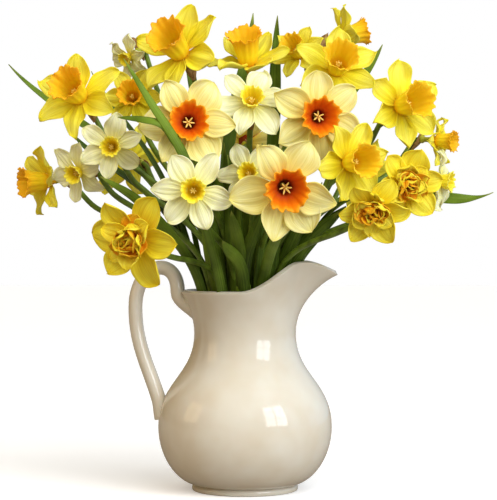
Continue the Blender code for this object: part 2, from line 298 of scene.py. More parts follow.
# %% [markdown]
# ## Greens, pollen and dry spathes
# Leaves are strap-shaped with parallel veins about 1 mm apart and a dull waxy bloom. Stems are smoother
# and yellower. The spathe is the sheath that wrapped the bud: dry, brown and papery. Anthers are dusty
# with pollen.

# %% Plant materials
LEAF_WIDTH = 12 * MM
LEAF_VEINS = 1.0 * MM


def leaf_material(name, low, high, tip):
    material, tree, shader = new_material(
        name, Roughness=0.5, Subsurface_Weight=0.08, Subsurface_Scale=0.003, Specular_IOR_Level=0.22)
    shader.inputs["Subsurface Radius"].default_value = (0.5, 1.0, 0.15)
    # The blade darkens towards its base, low in the bunch among the stems: painted shade.
    body = ramp(tree, uv_part(tree, "Y"), (0.0, low), (0.55, high), (0.93, high), (1.0, tip))
    lines = streaks(tree, LEAF_WIDTH / LEAF_VEINS * 1.4, 2.0)
    light = add(tree, "ShaderNodeMapRange", Value=lines, _1=0.4, _2=0.75, _3=0.0, _4=0.55).outputs[0]
    veined = mix(tree, "MIX", light, body, linear("86A03A"))
    patches = blotches(tree, 30 * MM)
    shade = add(tree, "ShaderNodeMapRange", Value=patches, _1=0.35, _2=0.7, _4=0.8).outputs[0]
    tree.links.new(mix(tree, "MULTIPLY", shade, veined, linear("8E9A62")), shader.inputs["Base Color"])
    bump(tree, shader, lines, 0.4 * MM)
    return material


def stem_material():
    material, tree, shader = new_material("daffodil stem", Roughness=0.4, Specular_IOR_Level=0.45)
    mottled = blotches(tree, 9 * MM, 3)
    body = ramp(tree, mottled, (0.3, "44560F"), (0.7, "74902A"))
    tree.links.new(body, shader.inputs["Base Color"])
    bump(tree, shader, blotches(tree, 1.5 * MM), 0.15 * MM)
    return material


def plain_plant_material(name, first, second, size, roughness, depth):
    material, tree, shader = new_material(name, Roughness=roughness)
    grain = blotches(tree, size, 4)
    tree.links.new(ramp(tree, grain, (0.3, first), (0.7, second)), shader.inputs["Base Color"])
    bump(tree, shader, grain, depth)
    return material


# Each green's first colour, at the leaf's base, is darker as painted shade deep in the bunch.
LEAF = leaf_material("daffodil leaf", "22300A", "4C6614", "8A8A3C")
# The lighter green goes on the tuft stalks and the leaves crossing the front, the darker on the leaves beside
# the lip; the rest mix the two.
LIGHT_LEAF = leaf_material("lighter daffodil leaf", "33460C", "6B8420", "A3A850")
STEM = stem_material()
TUBE = plain_plant_material("flower tube", "8FA024", "C9BE30", 5 * MM, 0.42, 0.1 * MM)
SPATHE = plain_plant_material("dry papery spathe", "6B4A22", "B08A52", 3 * MM, 0.7, 0.4 * MM)
ANTHER = plain_plant_material("pollen-dusted anther", "F6D040", "FDEE9C", 0.6 * MM, 0.85, 0.15 * MM)

# %% [markdown]
# ## Glazed earthenware
# The jug is white earthenware under a cream glaze: a smooth, glass-like coat over a body that is very
# slightly uneven. The gloss comes from a low roughness with a clear coat, the unevenness from a shallow
# bump with soft hollows about 18 mm apart, and the glaze is a touch warmer where it has pooled.

# %% Glaze


def glaze_material():
    material, tree, shader = new_material(
        "cream glaze", Roughness=0.1, IOR=1.5, Coat_Weight=0.5, Coat_Roughness=0.03,
        Subsurface_Weight=0.05, Subsurface_Scale=0.004)
    pooled = blotches(tree, 35 * MM, 2)
    tree.links.new(ramp(tree, pooled, (0.35, "DBD5C6"), (0.7, "D4CAB6")), shader.inputs["Base Color"])
    bump(tree, shader, blotches(tree, 18 * MM, 1), 0.35 * MM, 0.5)
    return material


GLAZE = glaze_material()

# %% [markdown]
# ## The jug
# The real jug was thrown on a wheel or slip-cast round. Here a circle is extruded upwards ring by ring and
# each ring is resized, which is the same thing by hand. The lip is then pulled out of the rim, the wall is
# given its thickness, and the rim's edges are rounded. The handle is a rod swept along a curve, made oval,
# and joined on.

# %% Sizes of the jug, as in the frame
FOOT_R = 50 * MM
FOOT_HEIGHT = 6 * MM
BELLY_R = 82 * MM
BELLY_Z = 60 * MM
NECK_R = 48 * MM
NECK_Z = 148 * MM
RIM_R = 60.5 * MM
RIM_Z = 187 * MM
WALL = 4.5 * MM
FLOOR = 8 * MM
SPOUT_ANGLE = math.radians(30)
SPOUT_REACH = 27 * MM
SPOUT_RISE = 28 * MM
SPOUT_DIP = 9 * MM
SPOUT_SWEEP = math.radians(95)
LIP_ROLL = 3.0 * MM  # how far the lip's tip turns down
HANDLE_THICK = 14 * MM
HANDLE_WIDTH = 19 * MM
HANDLE_RISE = 26 * MM
HANDLE_REACH = 43 * MM
HANDLE_DROP = 15 * MM  # from the rim down to the arch's outermost point
HANDLE_ROOT = 19 * MM  # how far under the rim the arch starts, inside the neck
HANDLE_FOOT_Z = 68 * MM
HANDLE_STEPS = 30  # along the arch, and again along the strap below it
ENTRY_STEPS = 7  # along the short run from inside the neck to the arch
JUG_STEPS = 120


def bezier(a, b, c, d, steps):
    """steps + 1 points of a cubic from a to d."""
    points = []
    for i in range(steps + 1):
        t = i / steps
        s = 1 - t
        points.append(a * s**3 + b * (3 * s * s * t) + c * (3 * s * t * t) + d * t**3)
    return points


def jug_side():
    """(r, z) points up the jug's outside, from the top of its foot to its rim."""
    waist = FOOT_R - 2 * MM
    bottom = bezier(
        Vector((waist, FOOT_HEIGHT)), Vector((waist + 18 * MM, FOOT_HEIGHT + 3 * MM)),
        Vector((BELLY_R, BELLY_Z * 0.55)), Vector((BELLY_R, BELLY_Z)), 14)
    rise = NECK_Z - BELLY_Z
    shoulder = bezier(
        Vector((BELLY_R, BELLY_Z)), Vector((BELLY_R, BELLY_Z + rise * 0.48)),
        Vector((NECK_R, NECK_Z - rise * 0.45)), Vector((NECK_R, NECK_Z)), 18)
    flare = RIM_Z - NECK_Z
    mouth = bezier(
        Vector((NECK_R, NECK_Z)), Vector((NECK_R, NECK_Z + flare * 0.45)),
        Vector((RIM_R - 4 * MM, RIM_Z - flare * 0.2)), Vector((RIM_R, RIM_Z)), 12)
    return bottom + shoulder[1:] + mouth[1:]


def turn_up(name, outline, steps):
    """Raises a circle into a turned shell: one extrusion and one resize for each (radius, height)."""
    bpy.ops.object.select_all(action="DESELECT")
    bpy.ops.mesh.primitive_circle_add(vertices=steps, radius=outline[0][0], fill_type="NOTHING")
    obj = bpy.context.object
    obj.name = name
    bpy.ops.object.mode_set(mode="EDIT")
    bpy.ops.transform.translate(value=(0, 0, outline[0][1]))
    for (radius, height), (next_radius, next_height) in zip(outline, outline[1:]):
        bpy.ops.mesh.extrude_region_move(TRANSFORM_OT_translate={"value": (0, 0, next_height - height)})
        wider = next_radius / radius
        bpy.ops.transform.resize(value=(wider, wider, 1))
    bpy.ops.object.mode_set(mode="OBJECT")
    return obj


def face_outward(obj):
    """Turns the faces of an open turned shell so that they look away from its axis."""
    facing_out = sum(p.normal.x * p.center.x + p.normal.y * p.center.y for p in obj.data.polygons)
    if facing_out < 0:
        obj.data.flip_normals()


def cap_ends(obj):
    """Fills every open edge loop."""
    activate(obj)
    bpy.ops.object.mode_set(mode="EDIT")
    bpy.ops.mesh.select_all(action="DESELECT")
    bpy.ops.mesh.select_mode(type="EDGE")
    bpy.ops.mesh.select_non_manifold()
    bpy.ops.mesh.edge_face_add()
    bpy.ops.mesh.select_all(action="SELECT")
    bpy.ops.mesh.normals_make_consistent(inside=False)
    bpy.ops.object.mode_set(mode="OBJECT")


def pull_spout(obj):
    """Lifts the rim towards +X and draws its middle out into a lip."""
    points = read_points(obj)
    radius = np.hypot(points[:, 0], points[:, 1])
    angle = np.abs(np.arctan2(points[:, 1], points[:, 0]))
    height = np.clip((points[:, 2] - NECK_Z) / (RIM_Z - NECK_Z), 0, 1)
    rise = SPOUT_RISE * (1 - smoothstep(SPOUT_ANGLE, SPOUT_SWEEP, angle))
    dip = SPOUT_DIP * (1 - smoothstep(0, SPOUT_ANGLE * 0.85, angle))
    reach = SPOUT_REACH * (1 - smoothstep(0, SPOUT_ANGLE * 1.15, angle))
    wider = 1 + height**2.8 * reach / np.maximum(radius, 1 * MM)
    points[:, 0] *= wider
    points[:, 1] *= wider
    points[:, 2] += height**1.5 * (rise - dip)
    lip = 1 - smoothstep(0, SPOUT_ANGLE * 0.9, angle)
    points[:, 2] -= LIP_ROLL * lip * height**9
    write_points(obj, points)


# %% Raise the body and give it a wall
FLOOR_EDGE_R = 46 * MM  # the inside's bottom is level out to here
side = [(p.x, p.y) for p in jug_side()]
foot = [(FOOT_R - 1.5 * MM, 0), (FOOT_R - 0.4 * MM, 0.5 * MM), (FOOT_R, 1.6 * MM),
        (FOOT_R, FOOT_HEIGHT * 0.6), (FOOT_R - 0.8 * MM, FOOT_HEIGHT * 0.85)]
jug = turn_up("jug_body", foot + side, JUG_STEPS)
pull_spout(jug)
activate(jug)
bpy.ops.object.mode_set(mode="EDIT")
bpy.ops.mesh.select_all(action="DESELECT")
bpy.ops.object.mode_set(mode="OBJECT")
for vertex in jug.data.vertices:
    vertex.select = vertex.co.z < 0.1 * MM
bpy.ops.object.mode_set(mode="EDIT")
bpy.ops.mesh.select_mode(type="EDGE")
bpy.ops.mesh.edge_face_add()
bpy.ops.mesh.select_all(action="SELECT")
bpy.ops.mesh.normals_make_consistent(inside=False)
bpy.ops.object.mode_set(mode="OBJECT")
face_outward(jug)
apply_modifier(jug, "SOLIDIFY", thickness=WALL, offset=-1)
points = read_points(jug)
radius = np.hypot(points[:, 0], points[:, 1])
inner_floor = (points[:, 2] > WALL * 0.8) & (points[:, 2] < FLOOR) & (radius < FLOOR_EDGE_R)
points[inner_floor, 2] = FLOOR
write_points(jug, points)
apply_modifier(
    jug, "BEVEL", width=1.7 * MM, segments=3, limit_method="ANGLE", angle_limit=math.radians(50))
print("jug body:", len(jug.data.polygons), "faces")

# %% [markdown]
# The handle's rod swells at both ends, as a potter smears the clay onto the wall. A core, the jug's inside
# made a little larger, cuts off what would poke through into the neck.

# %% Sweep the handle and join it


def rod(name, line, radii, sides=4):
    """A round rod along the points: a curve with a bevel, made a mesh."""
    curve = bpy.data.curves.new(name, "CURVE")
    curve.dimensions = "3D"
    curve.bevel_depth = 1
    curve.bevel_resolution = sides
    curve.use_fill_caps = True
    spline = curve.splines.new("POLY")
    spline.points.add(len(line) - 1)
    for i, point in enumerate(line):
        spline.points[i].co = (*point, 1)
        spline.points[i].radius = radii[i]
    obj = bpy.data.objects.new(name, curve)
    bpy.context.scene.collection.objects.link(obj)
    activate(obj)
    bpy.ops.object.convert(target="MESH")
    obj = bpy.context.object
    bpy.ops.object.mode_set(mode="EDIT")
    bpy.ops.mesh.select_all(action="SELECT")
    bpy.ops.mesh.remove_doubles(threshold=0.001 * MM)
    bpy.ops.object.mode_set(mode="OBJECT")
    obj.data.shade_smooth()
    return obj


def handle_path(steps):
    root = Vector((-NECK_R + 4 * MM, 0, RIM_Z - HANDLE_ROOT))
    top = Vector((-RIM_R - 3 * MM, 0, RIM_Z))
    out = Vector((-RIM_R - HANDLE_REACH, 0, RIM_Z - HANDLE_DROP))
    low = Vector((-BELLY_R + 5 * MM, 0, HANDLE_FOOT_Z))
    over = HANDLE_RISE * 4 / 3 + 1 * MM
    arch = bezier(top, top + Vector((0, 0, over)), out + Vector((0, 0, over + 8 * MM)), out, steps)
    drop = (out.z - low.z) * 0.4
    strap = bezier(out, out + Vector((0, 0, -drop)), low + Vector((-9 * MM, 0, drop)), low, steps)
    entry = bezier(
        root, root + Vector((-9 * MM, 0, 8 * MM)), top - Vector((0, 0, 9 * MM)), top, ENTRY_STEPS)
    return entry + arch[1:] + strap[1:]


def swelling(steps):
    """The handle's radius along its path: thicker where it joins the jug."""
    count = 2 * steps + ENTRY_STEPS + 1
    t = np.arange(count) / (count - 1)
    swell = 0.25 * (1 - smoothstep(0, 0.08, t)) + 0.25 * smoothstep(0.93, 1, t)
    return HANDLE_THICK / 2 * (1 + swell - 0.06 * np.sin(t * math.pi))


handle = rod("jug_handle", handle_path(HANDLE_STEPS), swelling(HANDLE_STEPS), 6)
points = read_points(handle)
points[:, 1] *= HANDLE_WIDTH / HANDLE_THICK
write_points(handle, points)
core_outline = [(r - WALL * 0.6, z) for r, z in side]
core = turn_up("jug_core", core_outline, JUG_STEPS)
pull_spout(core)
cap_ends(core)
apply_modifier(handle, "BOOLEAN", object=core, operation="DIFFERENCE", solver="EXACT")
bpy.data.objects.remove(core)
apply_modifier(jug, "BOOLEAN", object=handle, operation="UNION", solver="EXACT")
bpy.data.objects.remove(handle)
activate(jug)
bpy.ops.object.shade_smooth_by_angle(angle=math.radians(45))
finish_piece(jug, GLAZE, ["jug"])
print("jug with handle:", len(jug.data.polygons), "faces")

# %% [markdown]
# ## Where the flowers stand
# The frame places every flower by its middle, the way it looks and its turn. Each row below repeats that.
# The stems share the jug's neck: each starts on its own flower's side, and they push each other apart
# until all have room.

# %% The flowers' places, as in the frame
# kind, petal length, middle (x, y, z), (turned right of the front, tilted up), own turn: mm and degrees
FLOWERS = [
    ("trumpet", 45, (-152, -40, 368), (-24, 22), 35),
    ("trumpet", 50, (-60, -10, 411), (-28, 28), 33),
    ("trumpet", 45, (3, 1, 403), (-12, 56), 5),
    ("trumpet", 36, (94, 60, 433), (100, 15), 0),
    ("trumpet", 44, (86, -6, 396), (8, 24), 26),
    ("trumpet", 45, (144, -30, 360), (34, 10), 28),
    ("orange_cup", 46, (-50, -105, 341), (4, 4), -3),
    ("small_cup", 37, (6, -75, 361), (3, 26), 12),
    ("orange_cup", 46, (66, -75, 348), (12, -3), 35),
    ("orange_cup", 50, (35, -135, 283), (10, -14), 4),
    ("small_cup", 38, (-45, -130, 280), (0, 0), 52),
    ("double", 45, (-97, -100, 238), (-28, -12), -5),
    ("trumpet", 38, (-188, 20, 292), (-63, -4), 10),
    ("small_cup", 31, (-154, -41, 299), (-33, -20), 15),
    ("small_cup", 32, (-121, -62, 321), (-6, 0), 25),
    ("trumpet", 42, (93, -86, 306), (32, 2), 8),
    ("double", 36, (146, -70, 286), (17, 0), 10),
    ("double", 34, (113, -110, 264), (0, -24), 0),
    ("small_cup", 33, (183, -20, 291), (66, -5), 0),
    ("trumpet", 33, (-106, 15, 370), (-6, 12), 0),
    ("small_cup", 24, (-113, 50, 413), (-40, -25), 10),
    ("trumpet", 28, (187, 65, 333), (60, -5), 0),
    ("trumpet", 32, (53, 55, 416), (-30, 25), 20),
    ("small_cup", 32, (4, -75, 296), (-12, 10), 0),
    ("trumpet", 43, (-115, 110, 315), (-135, 10), 0),
    ("orange_cup", 44, (0, 145, 335), (180, 15), 0),
    ("trumpet", 43, (115, 105, 300), (135, 5), 0),
]
STEM_R = 2.7 * MM
PEDICEL_R = 2.3 * MM
OVARY_R = 4.2 * MM
TUBE_R = 3.2 * MM
TUBE_LENGTH = 26 * MM
BEND = 12 * MM
STEM_SPACING = 9.5 * MM
MOUTH_SHARE = 1.2
FLOOR_SHARE = 0.72
STALK_THICK = 6 * MM
STALK_WIDTH = 14 * MM
NECK_GAP = 1 * MM
GAP = 0.4 * MM
WIDEST_LEAN = math.radians(70)  # a flower that leans this far has its stem against the neck
PUSHES = 400  # rounds of pushing the stems apart
STEM_FOOT = FLOOR + 1.4 * MM


def facing(turn, tilt):
    turn = math.radians(turn)
    tilt = math.radians(tilt)
    return Vector((math.sin(turn) * math.cos(tilt), -math.cos(turn) * math.cos(tilt), math.sin(tilt)))


def neck_places():
    most = NECK_R - WALL - NECK_GAP - STALK_THICK - GAP - STEM_R
    places = []
    for _, _, centre, _, _ in FLOWERS:
        spot = Vector(centre) * MM
        lean = math.atan2(math.hypot(spot.x, spot.y), spot.z - NECK_Z)
        places.append(Vector((spot.x, spot.y)).normalized() * most * min(1, lean / WIDEST_LEAN))
    for _ in range(PUSHES):
        for i, a in enumerate(places):
            for b in places[:i]:
                apart = a - b
                short = STEM_SPACING - apart.length
                if short > 0:
                    push = apart.normalized() * short * 0.5
                    a += push
                    b -= push
        for spot in places:
            if spot.length > most:
                spot *= most / spot.length
    return places


def stem_line(spot, centre, look):
    """The stem's corners, from the jug's floor to the back of the flower."""
    foot = Vector((spot.x * FLOOR_SHARE, spot.y * FLOOR_SHARE, STEM_FOOT))
    neck = Vector((spot.x, spot.y, NECK_Z))
    mouth = Vector((spot.x * MOUTH_SHARE, spot.y * MOUTH_SHARE, RIM_Z))
    bend = centre - look * TUBE_LENGTH
    rise = (mouth - neck).normalized()
    arrive = ((bend - neck).normalized() + Vector((0, 0, 0.6))).normalized()
    below = bend - arrive * BEND
    reach = (below - mouth).length
    curve = bezier(mouth, mouth + rise * reach * 0.5, below - arrive * reach * 0.3, below, 6)
    after = bend + look * BEND * 0.6
    return [foot, neck] + curve + [(below + bend * 2 + after) / 4, after]


def smooth_line(line, between):
    """A rounder line through the same points (Catmull-Rom)."""
    padded = [line[0] * 2 - line[1]] + line + [line[-1] * 2 - line[-2]]
    points = []
    for a, b, c, d in zip(padded, padded[1:], padded[2:], padded[3:]):
        for i in range(between):
            t = i / between
            points.append((b * 2 + (c - a) * t + (a * 2 - b * 5 + c * 4 - d) * t * t
                           + (b * 3 - a - c * 3 + d) * t**3) / 2)
    return points + [line[-1]]


# %% [markdown]
# ## One petal
# A petal is a broad oval with a small point, held by a narrow base. It starts as a flat grid. The rule
# below gives the grid that outline, bends it along its length, cups it across, raises two long folds
# beside the midrib, ruffles the edge and adds a little twist. All petals are copies of the one grid.

# %% Petal blank and its rule
bpy.ops.object.select_all(action="DESELECT")
bpy.ops.mesh.primitive_grid_add(x_subdivisions=20, y_subdivisions=28, size=1)
PETAL_BLANK = bpy.context.object
PETAL_BLANK.name = "petal_blank"


def outline_width(along, widest, point):
    """A petal's half width along it, from 0 to 1. A larger point is sharper."""
    claw = 0.3 + 0.7 * np.sin(math.pi / 2 * np.clip(along / widest, 0, 1)) ** 1.2
    past = np.clip((along - widest) / (1 - widest), 0, 1)
    return claw * np.maximum(1 - past**2.1, 0) ** point


def petal(name, length, wide, lift, curl, cup, fold, ruffle, twist, widest, point, base, behind, phase):
    """A petal along +X that faces +Z. Angles are in radians and sizes in metres."""
    obj = copy_of(PETAL_BLANK, name)
    flat = read_points(obj)
    across = flat[:, 0] * 2
    along = flat[:, 1] + 0.5
    bend = curl if abs(curl) > 1e-3 else 1e-3
    angle = lift + bend * along
    out = length * (np.sin(lift + bend * along) - math.sin(lift)) / bend
    up = length * (math.cos(lift) - np.cos(lift + bend * along)) / bend
    half = wide * outline_width(along, widest, point)
    height = cup * half * across**2 * (1 + along**4)
    rise = np.sin(along * math.pi) ** 0.7
    height += fold * half * rise * np.cos(across * math.pi * 1.6)
    height += 0.25 * MM * rise * np.cos(across * 15 + phase * 6)
    wave = np.sin(math.tau * (1.6 * along + phase) + 1.5 * np.sign(across))
    height += ruffle * np.abs(across) ** 2.5 * wave * along
    height += 0.7 * ruffle * np.sin(math.tau * (0.9 * along + phase)) * along
    turn = twist * along
    bow = 0.06 * length * math.sin(phase * 40) * along**2
    sideways = across * half * np.cos(turn) - height * np.sin(turn) + bow
    height = across * half * np.sin(turn) + height * np.cos(turn)
    points = np.empty_like(flat)
    points[:, 0] = base + out - np.sin(angle) * height
    points[:, 1] = sideways
    points[:, 2] = up + np.cos(angle) * height - behind
    write_points(obj, points)
    return obj


def spread(pieces, angles):
    for piece, angle in zip(pieces, angles):
        piece.data.transform(Matrix.Rotation(angle, 4, "Z"))


# %% [markdown]
# ## One corona
# Trumpets and cups are turned up from a circle like the jug, once for each kind, then copied. A rule then
# crimps each copy: shallow ribs along the wall, six broad lobes and a fine irregular frill that grow
# towards the rim.

# %% Corona blanks and the frill
# (radius, height) from the throat to the rim, in mm for a flower with 45 mm petals
CORONA_OUTLINES = {
    "trumpet": [
        (0.5, -9.4), (2.6, -9), (4.2, -5), (6.4, -1.5), (8.2, 1.5), (9.2, 5), (9.9, 9), (10.6, 13),
        (11.2, 17), (11.9, 21), (12.8, 24.5), (14.0, 27.5), (15.3, 29.6), (16.8, 31)],
    "orange_cup": [
        (0.5, -9.4), (2.6, -9), (4.0, -6.5), (5.0, -4), (5.8, -1.5), (6.8, 0.5), (8.4, 1.9),
        (10.0, 3.4), (11.6, 5.4), (13.0, 7.8), (14.2, 10.2), (15.4, 12.2), (17.0, 13.6)],
    "small_cup": [
        (0.5, -9.4), (2.6, -9), (4.2, -5.5), (6.0, -2), (7.4, 0.6), (8.3, 3.4), (8.9, 6.4),
        (9.5, 9.2), (10.4, 11.6), (11.6, 13.2), (13.0, 14.2)],
}
FULL_SIZE = 45 * MM
CORONA_STEPS = 96


def round_and_along(obj, along):
    """A UV map whose u goes round the axis and whose v goes from the throat to the rim."""
    points = read_points(obj)
    around = np.arctan2(points[:, 1], points[:, 0]) / math.tau
    uv = obj.data.uv_layers.new(name="UVMap")
    for face in obj.data.polygons:
        first = around[face.vertices[0]]
        for loop in face.loop_indices:
            vertex = obj.data.loops[loop].vertex_index
            u = first + (around[vertex] - first + 0.5) % 1 - 0.5
            uv.data[loop].uv = (u, along[vertex])


def corona_blank(kind):
    outline = CORONA_OUTLINES[kind]
    rounder = smooth_line([Vector((r * MM, z * MM)) for r, z in outline], 2)
    obj = turn_up(kind + "_corona_blank", [(p.x, p.y) for p in rounder], CORONA_STEPS)
    points = read_points(obj)
    radius = np.hypot(points[:, 0], points[:, 1])
    gaps = [np.hypot(radius - p.x, points[:, 2] - p.y) for p in rounder]
    along = np.argmin(gaps, axis=0) / (len(rounder) - 1)
    depth = obj.data.attributes.new("depth", "FLOAT", "POINT")
    depth.data.foreach_set("value", along)
    round_and_along(obj, along)
    return obj


CORONA_BLANKS = {kind: corona_blank(kind) for kind in CORONA_OUTLINES}


def corona(name, kind, scale, frill, draw):
    obj = copy_of(CORONA_BLANKS[kind], name)
    depth = np.empty(len(obj.data.vertices))
    obj.data.attributes["depth"].data.foreach_get("value", depth)
    points = read_points(obj)
    around = np.arctan2(points[:, 1], points[:, 0])
    ribs = 0.03 * np.cos(around * 12 + draw.uniform(0, 6)) * smoothstep(0.2, 0.6, depth)
    edge = depth**5
    wave = np.zeros(len(depth))
    for lobes, size in ((3, 0.4), (6, 0.7), (11, 0.6), (17, 0.4), (26, 0.25)):
        wave += size * np.sin(lobes * around + draw.uniform(0, 6))
    wider = 1 + ribs + frill * 0.07 * wave * edge
    points[:, 0] *= wider
    points[:, 1] *= wider
    shift = 0
    for lobes, size in ((4, 0.6), (9, 0.9), (16, 0.8), (29, 0.4)):
        shift = shift + size * np.sin(lobes * around + draw.uniform(0, 6))
    points[:, 2] += frill * 1.0 * MM * shift * edge
    write_points(obj, points * scale)
    thicken(obj, 0.6 * MM)
    return obj


# %% [markdown]
# ## Stamens
# Six stamens stand round a style in the throat. Each is a thin filament with a long anther on it; the
# style is a little longer and ends in a blunt stigma. They are small, so a few dozen faces each will do.

# %% Stamen blank
bpy.ops.object.select_all(action="DESELECT")
bpy.ops.mesh.primitive_uv_sphere_add(segments=10, ring_count=8, radius=1)
ANTHER_BLANK = bpy.context.object
ANTHER_BLANK.name = "anther_blank"
ANTHER_BLANK.data.transform(Matrix.Diagonal((0.85 * MM, 0.85 * MM, 3.0 * MM, 1)))


def stamens(name, reach, splay, scale, draw):
    """Six anthers on filaments round a style, in a flower that faces +Z. Splay spreads them outward."""
    top = reach + 3 * MM
    pieces = [rod(name, [Vector((0, 0, -7 * MM)), Vector((0, 0, top - 1 * MM)), Vector((0, 0, top))],
                  [0.6 * MM, 0.6 * MM, 0.9 * MM], 1)]
    for i in range(6):
        turn = Matrix.Rotation(i * math.tau / 6 + draw.uniform(-0.25, 0.25), 4, "Z")
        lean = splay * draw.uniform(0.85, 1.15)
        hold = Vector(((0.9 + 2.2 * math.sin(lean)) * MM, 0, reach + draw.uniform(-1.0, 0.5) * MM))
        stalk = rod(name, [Vector((0.9 * MM, 0, -6 * MM)), hold], [0.4 * MM, 0.35 * MM], 1)
        anther = copy_of(ANTHER_BLANK, name)
        slim = Matrix.Diagonal((0.8, 0.9, 0.95, 1))
        anther.data.transform(Matrix.Translation(hold) @ Matrix.Rotation(lean, 4, "Y") @ slim)
        for part in (stalk, anther):
            part.data.transform(turn)
            pieces.append(part)
    obj = joined(name, pieces)
    obj.data.transform(Matrix.Scale(scale, 4))
    obj.data.shade_smooth()
    return obj


# %% [markdown]
# ## Whole flowers
# Each kind has its own petals: pointed and twisting on the trumpets, broad and flat round the orange
# cups, rounder on the small cups. A double flower fills its middle with shorter and shorter whorls of
# petals, and orange frills between them. The numbers vary a little from petal to petal.

# %% Petal whorls
# half width as a share of the length, lift, curl, cup, fold, ruffle in mm, widest place, point
PETAL_SHAPES = {
    "trumpet": (0.28, 14, 2, 0.28, 0.12, 2.8, 0.48, 0.85),
    "orange_cup": (0.34, 7, -4, 0.2, 0.07, 2.4, 0.5, 0.86),
    "small_cup": (0.3, 5, -8, 0.22, 0.07, 2.6, 0.52, 0.78),
    "double": (0.34, 12, 2, 0.26, 0.07, 1.8, 0.55, 0.68),
}
# how far from the axis the petals start, just outside the corona, in mm on a full-sized flower
PETAL_RING = {"trumpet": 5.8, "orange_cup": 6.8, "small_cup": 6.2, "double": 5}
# how strongly the corona's rim is frilled
FRILL = {"trumpet": 1.0, "orange_cup": 1.25, "small_cup": 1.0}
# how high the anthers stand, and how far they lean out, in radians
ANTHERS = {"trumpet": (11 * MM, 0.35), "orange_cup": (2.5 * MM, 1.05), "small_cup": (4 * MM, 0.5)}
# the trumpet daffodils whose corona is hardly darker than their petals
LIGHT_TRUMPETS = {f"trumpet_flower_{number}" for number in (5, 6, 8, 11, 12)}
# Some flowers' petals stand unevenly: how far each is turned from its even place, in degrees.
UNEVEN = {
    "orange_cup_flower_3": (-20, -3, -2, 10, 10, 0),
    "trumpet_flower_2": (5, 0, 8, 25, 8, 15),
    "small_cup_flower_2": (4, 6, 4, -6, -4, -8),
}


def whorl(name, kind, count, length, base, lift, behind, start, draw, wide=1.0, wild=1.0):
    """A ring of petals. Every second one stands a little behind, as a flower's outer petals do."""
    share, own_lift, curl, cup, fold, ruffle, widest, point = PETAL_SHAPES[kind]
    turns = UNEVEN.get(name.removesuffix("_petals"), (0,) * count)
    pieces = []
    angles = []
    for i in range(count):
        size = length * draw.uniform(1 - 0.06 * wild, 1.04)
        inner = i % 2 == 0
        pieces.append(petal(
            name, size - base, size * share * wide * (0.93 if inner else 1.06) * draw.uniform(0.93, 1.05),
            math.radians(own_lift + lift + wild * draw.uniform(-8, 8)),
            math.radians(curl + wild * draw.uniform(-18, 14)),
            cup * draw.uniform(0.3, 1.6), fold * draw.uniform(0.5, 1.6), ruffle * MM * draw.uniform(0.5, 1.5),
            math.radians(wild * draw.uniform(-20, 20)), widest * draw.uniform(0.9, 1.1),
            point * draw.uniform(0.85, 1.15), base, behind + (0 if inner else 1.5 * MM), draw.random()))
        even = start + (i + wild * draw.uniform(-0.08, 0.08)) * math.tau / count
        angles.append(even + math.radians(turns[i % len(turns)]))
    spread(pieces, angles)
    return joined(name, pieces)


def add_flower(name, kind, size, centre, look, roll, draw):
    """All of one flower's pieces in front of its stem."""
    scale = size * MM / FULL_SIZE
    turn = look.to_track_quat("Z", "Y").to_matrix().to_4x4()
    place = Matrix.Translation(centre) @ turn @ Matrix.Rotation(math.radians(roll), 4, "Z")
    ring = PETAL_RING[kind] * MM * scale
    length = size * MM - ring + PETAL_RING["double"] * MM * scale
    petals = whorl(name + "_petals", kind, 6, length, ring, 0, 0, 0, draw)
    tint = kind
    if kind == "double":
        rows = [petals,
                whorl(name, kind, 6, size * MM * 0.72, 4 * MM, 28, -1.5 * MM, 0.5, draw, 1.05, 2.0),
                whorl(name, kind, 5, size * MM * 0.6, 3 * MM, 50, -3 * MM, 0.1, draw, 1.05, 2.6),
                whorl(name, kind, 4, size * MM * 0.52, 2 * MM, 70, -3 * MM, 0.8, draw, 1.1, 2.6)]
        petals = joined(name + "_petals", rows)
        frills = [whorl(name, kind, 6, size * MM * 0.58, 3 * MM, 40, -3 * MM, 0.3, draw, 1.3, 2.6),
                  whorl(name, kind, 5, size * MM * 0.5, 2 * MM, 66, -3.5 * MM, 0.9, draw, 1.3, 2.6)]
        middle = joined(name + "_frills", frills)
        attribute = middle.data.attributes.new("depth", "FLOAT", "POINT")
        far = np.linalg.norm(read_points(middle), axis=1)
        attribute.data.foreach_set("value", 0.4 + 0.6 * far / far.max())
        thicken(middle, 0.5 * MM)
    else:
        middle = corona(name + "_corona", kind, scale, FRILL[kind], draw)
        reach, splay = ANTHERS[kind]
        anthers = stamens(name + "_stamens", reach, splay, scale, draw)
        anthers.data.transform(place)
        finish_piece(anthers, ANTHER)
        if name in LIGHT_TRUMPETS:
            tint = "light_trumpet"
    thicken(petals, 0.5 * MM)
    petals.data.transform(place)
    middle.data.transform(place)
    finish_piece(petals, PETALS[kind], [name])
    finish_piece(middle, CORONAS[tint])


# %% [markdown]
# ## Stems, ovaries and spathes
# Under each flower the thin pedicel bends sharply, swells into the green ovary and narrows again into the
# flower's tube. The dry spathe clasps the bend. The stem goes down into the jug, close among the others.

# %% Stems


